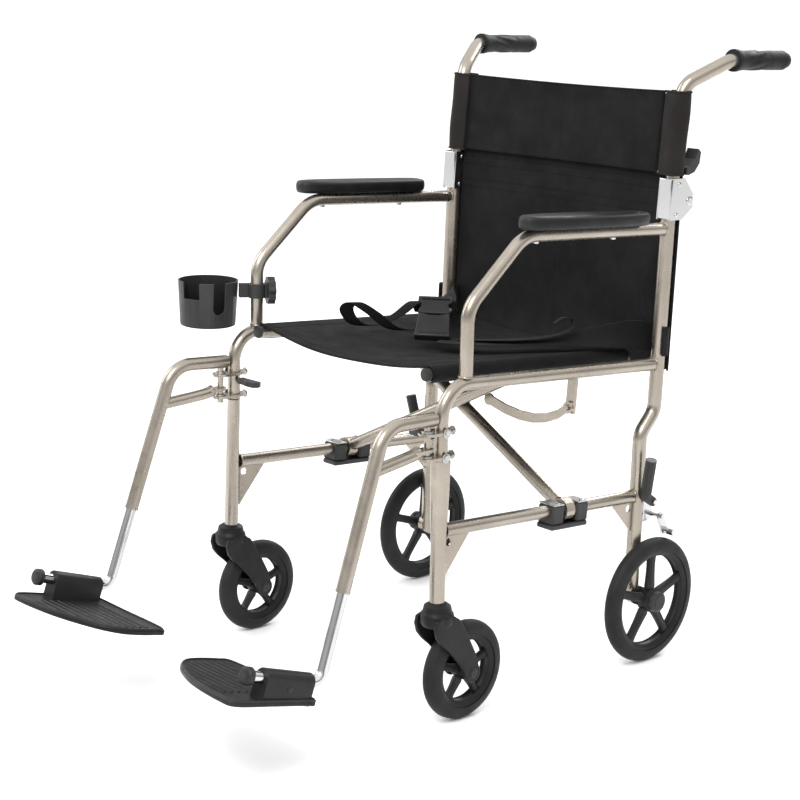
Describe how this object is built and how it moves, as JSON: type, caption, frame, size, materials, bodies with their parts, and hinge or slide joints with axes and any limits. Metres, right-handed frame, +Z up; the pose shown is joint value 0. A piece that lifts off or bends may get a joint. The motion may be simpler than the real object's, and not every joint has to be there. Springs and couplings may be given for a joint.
{
  "type": "folding transport wheelchair",
  "caption": "Folding transport wheelchair with X-brace, swing-away leg rests, small rear wheels, fold-down push handles, lap belt and cup holder.",
  "frame": {"origin": "bottom centre of the bounding box, on the floor", "axes": "+Z up, -Y is the way the occupant faces, +X is the occupant's left"},
  "size_m": [0.6234, 1.0862, 0.9654],
  "materials": {
    "champagne": "warm metallic coat",
    "chrome": "bright plate",
    "zinc": "zinc plated",
    "black_plastic": "fine texture",
    "grip_rubber": "soft moulded",
    "tyre": "smooth solid tyre",
    "fabric": "woven nylon",
    "webbing": "woven webbing"
  },
  "bodies": {
    "brace_a": {"brace_a": "champagne", "cross_bolt": "zinc"},
    "brace_b": {"brace_b": "champagne", "seat_sling": "fabric", "buckle": "black_plastic"},
    "left_frame": {"seat_rail_left": "champagne", "leg_tube_left": "champagne", "lower_rail_left": "champagne", "arm_tube_left": "champagne", "arm_pad_left": "black_plastic", "back_post_left": "champagne", "hinge_bracket_left": "chrome", "rear_axle_left": "black_plastic", "brake_bracket_left": "chrome", "rail_block_left": "black_plastic", "back_upper": "fabric", "back_lower": "fabric", "belt_left": "webbing"},
    "cane_left": {"push_cane_left": "champagne", "hand_grip_left": "grip_rubber"},
    "paddle_left": {"release_paddle_left": "black_plastic"},
    "rear_wheel_left": {"rear_wheel_left": "black_plastic", "rear_tyre_left": "tyre"},
    "caster_left": {"caster_fork_left": "black_plastic"},
    "caster_wheel_left": {"caster_wheel_left": "tyre"},
    "brake_lever_left": {"brake_lever_left": "black_plastic"},
    "brake_shoe_left": {"brake_shoe_left": "chrome"},
    "hanger_left": {"hanger_left": "champagne"},
    "latch_left": {"hanger_latch_left": "black_plastic"},
    "foot_tube_left": {"foot_tube_left": "chrome"},
    "foot_plate_left": {"foot_plate_left": "black_plastic"},
    "link_left": {"brace_link_left": "champagne"},
    "right_frame": {"seat_rail_right": "champagne", "leg_tube_right": "champagne", "lower_rail_right": "champagne", "arm_tube_right": "champagne", "arm_pad_right": "black_plastic", "back_post_right": "champagne", "hinge_bracket_right": "chrome", "rear_axle_right": "black_plastic", "brake_bracket_right": "chrome", "rail_block_right": "black_plastic", "belt_right": "webbing", "cup": "black_plastic", "cup_clamp": "black_plastic"},
    "cane_right": {"push_cane_right": "champagne", "hand_grip_right": "grip_rubber"},
    "paddle_right": {"release_paddle_right": "black_plastic"},
    "rear_wheel_right": {"rear_wheel_right": "black_plastic", "rear_tyre_right": "tyre"},
    "caster_right": {"caster_fork_right": "black_plastic"},
    "caster_wheel_right": {"caster_wheel_right": "tyre"},
    "brake_lever_right": {"brake_lever_right": "black_plastic"},
    "brake_shoe_right": {"brake_shoe_right": "chrome"},
    "hanger_right": {"hanger_right": "champagne"},
    "latch_right": {"hanger_latch_right": "black_plastic"},
    "foot_tube_right": {"foot_tube_right": "chrome"},
    "foot_plate_right": {"foot_plate_right": "black_plastic"},
    "cup_knob": {"cup_knob": "black_plastic"}
  },
  "joints": [
    {"name": "frame_fold", "type": "hinge", "parent": "left_frame", "child": "brace_a", "pos_m": [0.25827, 0.11442, 0.27933], "axis": [0, 0.9984, -0.0559], "range_deg": [0, 33], "deforming": ["seat_sling", "back_lower", "belt_left", "belt_right"]},
    {"name": "brace_scissor", "type": "hinge", "parent": "brace_a", "child": "brace_b", "pos_m": [0.02327, 0.09966, 0.4009], "axis": [0, 0.9984, -0.0559], "range_deg": [-66.5, 0.5]},
    {"name": "right_frame_follow", "type": "hinge", "parent": "brace_b", "child": "right_frame", "pos_m": [-0.21173, 0.09292, 0.28054], "axis": [0, 0.9984, -0.0559], "range_deg": [-0.5, 33.5]},
    {"name": "link_left_swing", "type": "hinge", "parent": "left_frame", "child": "link_left", "pos_m": [0.25327, 0.11914, 0.43531], "axis": [0, 0.9984, -0.0559], "range_deg": [-0.5, 62.38]},
    {"name": "cane_left_fold", "type": "hinge", "parent": "left_frame", "child": "cane_left", "pos_m": [0.25827, 0.35392, 0.7336], "axis": [-1, 0, 0], "range_deg": [0, 170], "deforming": ["back_upper"]},
    {"name": "paddle_left_press", "type": "hinge", "parent": "cane_left", "child": "paddle_left", "pos_m": [0.25827, 0.34992, 0.7785], "axis": [-1, 0, 0], "range_deg": [0, 18], "stiffness_Nm_per_rad": 0.6},
    {"name": "rear_wheel_left_spin", "type": "hinge", "parent": "left_frame", "child": "rear_wheel_left", "pos_m": [0.28377, 0.30242, 0.1015], "axis": [1, 0, 0], "continuous": true},
    {"name": "caster_left_turn", "type": "hinge", "parent": "left_frame", "child": "caster_left", "pos_m": [0.26327, -0.15108, 0.1897], "axis": [0, 0, 1], "continuous": true},
    {"name": "caster_wheel_left_spin", "type": "hinge", "parent": "caster_left", "child": "caster_wheel_left", "pos_m": [0.26327, -0.09598, 0.075], "axis": [1, 0, 0], "continuous": true},
    {"name": "brake_lever_left_push", "type": "hinge", "parent": "left_frame", "child": "brake_lever_left", "pos_m": [0.27677, 0.30612, 0.2607], "axis": [1, 0, 0], "range_deg": [0, 45]},
    {"name": "brake_shoe_left_press", "type": "hinge", "parent": "left_frame", "child": "brake_shoe_left", "pos_m": [0.27677, 0.32792, 0.233], "axis": [1, 0, 0], "range_deg": [-20.6, 0.2]},
    {"name": "hanger_left_swing", "type": "hinge", "parent": "left_frame", "child": "hanger_left", "pos_m": [0.25827, -0.17808, 0.422], "axis": [0, 0, 1], "range_deg": [0, 90]},
    {"name": "latch_left_release", "type": "hinge", "parent": "left_frame", "child": "latch_left", "pos_m": [0.23677, -0.15108, 0.4297], "axis": [0, 0, 1], "range_deg": [0, 25], "stiffness_Nm_per_rad": 0.3},
    {"name": "foot_tube_left_length", "type": "slide", "parent": "hanger_left", "child": "foot_tube_left", "axis": [0.0262, -0.3202, -0.947], "range_m": [-0.06, 0.06]},
    {"name": "foot_plate_left_flip", "type": "hinge", "parent": "foot_tube_left", "child": "foot_plate_left", "pos_m": [0.27357, -0.37925, 0.1271], "axis": [0, 0.9473, -0.3203], "range_deg": [-0.5, 79.7]},
    {"name": "cane_right_fold", "type": "hinge", "parent": "right_frame", "child": "cane_right", "pos_m": [-0.21173, 0.35392, 0.7336], "axis": [-1, 0, 0], "range_deg": [0, 170]},
    {"name": "paddle_right_press", "type": "hinge", "parent": "cane_right", "child": "paddle_right", "pos_m": [-0.21173, 0.34992, 0.7785], "axis": [-1, 0, 0], "range_deg": [0, 18], "stiffness_Nm_per_rad": 0.6},
    {"name": "rear_wheel_right_spin", "type": "hinge", "parent": "right_frame", "child": "rear_wheel_right", "pos_m": [-0.23723, 0.30242, 0.1015], "axis": [1, 0, 0], "continuous": true},
    {"name": "caster_right_turn", "type": "hinge", "parent": "right_frame", "child": "caster_right", "pos_m": [-0.21673, -0.15108, 0.1897], "axis": [0, 0, 1], "continuous": true},
    {"name": "caster_wheel_right_spin", "type": "hinge", "parent": "caster_right", "child": "caster_wheel_right", "pos_m": [-0.21673, -0.09598, 0.075], "axis": [1, 0, 0], "continuous": true},
    {"name": "brake_lever_right_push", "type": "hinge", "parent": "right_frame", "child": "brake_lever_right", "pos_m": [-0.23023, 0.30612, 0.2607], "axis": [1, 0, 0], "range_deg": [0, 45]},
    {"name": "brake_shoe_right_press", "type": "hinge", "parent": "right_frame", "child": "brake_shoe_right", "pos_m": [-0.23023, 0.32792, 0.233], "axis": [1, 0, 0], "range_deg": [-20.6, 0.2]},
    {"name": "hanger_right_swing", "type": "hinge", "parent": "right_frame", "child": "hanger_right", "pos_m": [-0.21173, -0.17808, 0.422], "axis": [0, 0, -1], "range_deg": [0, 90]},
    {"name": "latch_right_release", "type": "hinge", "parent": "right_frame", "child": "latch_right", "pos_m": [-0.19023, -0.15108, 0.4297], "axis": [0, 0, -1], "range_deg": [0, 25], "stiffness_Nm_per_rad": 0.3},
    {"name": "foot_tube_right_length", "type": "slide", "parent": "hanger_right", "child": "foot_tube_right", "axis": [-0.0262, -0.3202, -0.947], "range_m": [-0.06, 0.06]},
    {"name": "foot_plate_right_flip", "type": "hinge", "parent": "foot_tube_right", "child": "foot_plate_right", "pos_m": [-0.22704, -0.37925, 0.1271], "axis": [0, -0.9473, 0.3203], "range_deg": [-0.5, 79.7]},
    {"name": "cup_knob_turn", "type": "hinge", "parent": "right_frame", "child": "cup_knob", "pos_m": [-0.20432, -0.09322, 0.5667], "axis": [0.4691, 0.8832, 0], "range_deg": [0, 360]}
  ],
  "couplings": [
    {"joint": "brace_scissor", "follows": "frame_fold", "ratio": -2},
    {"joint": "right_frame_follow", "follows": "frame_fold", "ratio": 1},
    {"joint": "link_left_swing", "follows": "frame_fold", "ratio": 1.875},
    {"joint": "brake_shoe_left_press", "follows": "brake_lever_left_push", "ratio": -0.45},
    {"joint": "foot_plate_left_flip", "follows": "frame_fold", "ratio": 2.4},
    {"joint": "brake_shoe_right_press", "follows": "brake_lever_right_push", "ratio": -0.45},
    {"joint": "foot_plate_right_flip", "follows": "frame_fold", "ratio": 2.4},
    {"joint": "cane_right_fold", "follows": "cane_left_fold", "ratio": 1}
  ]
}
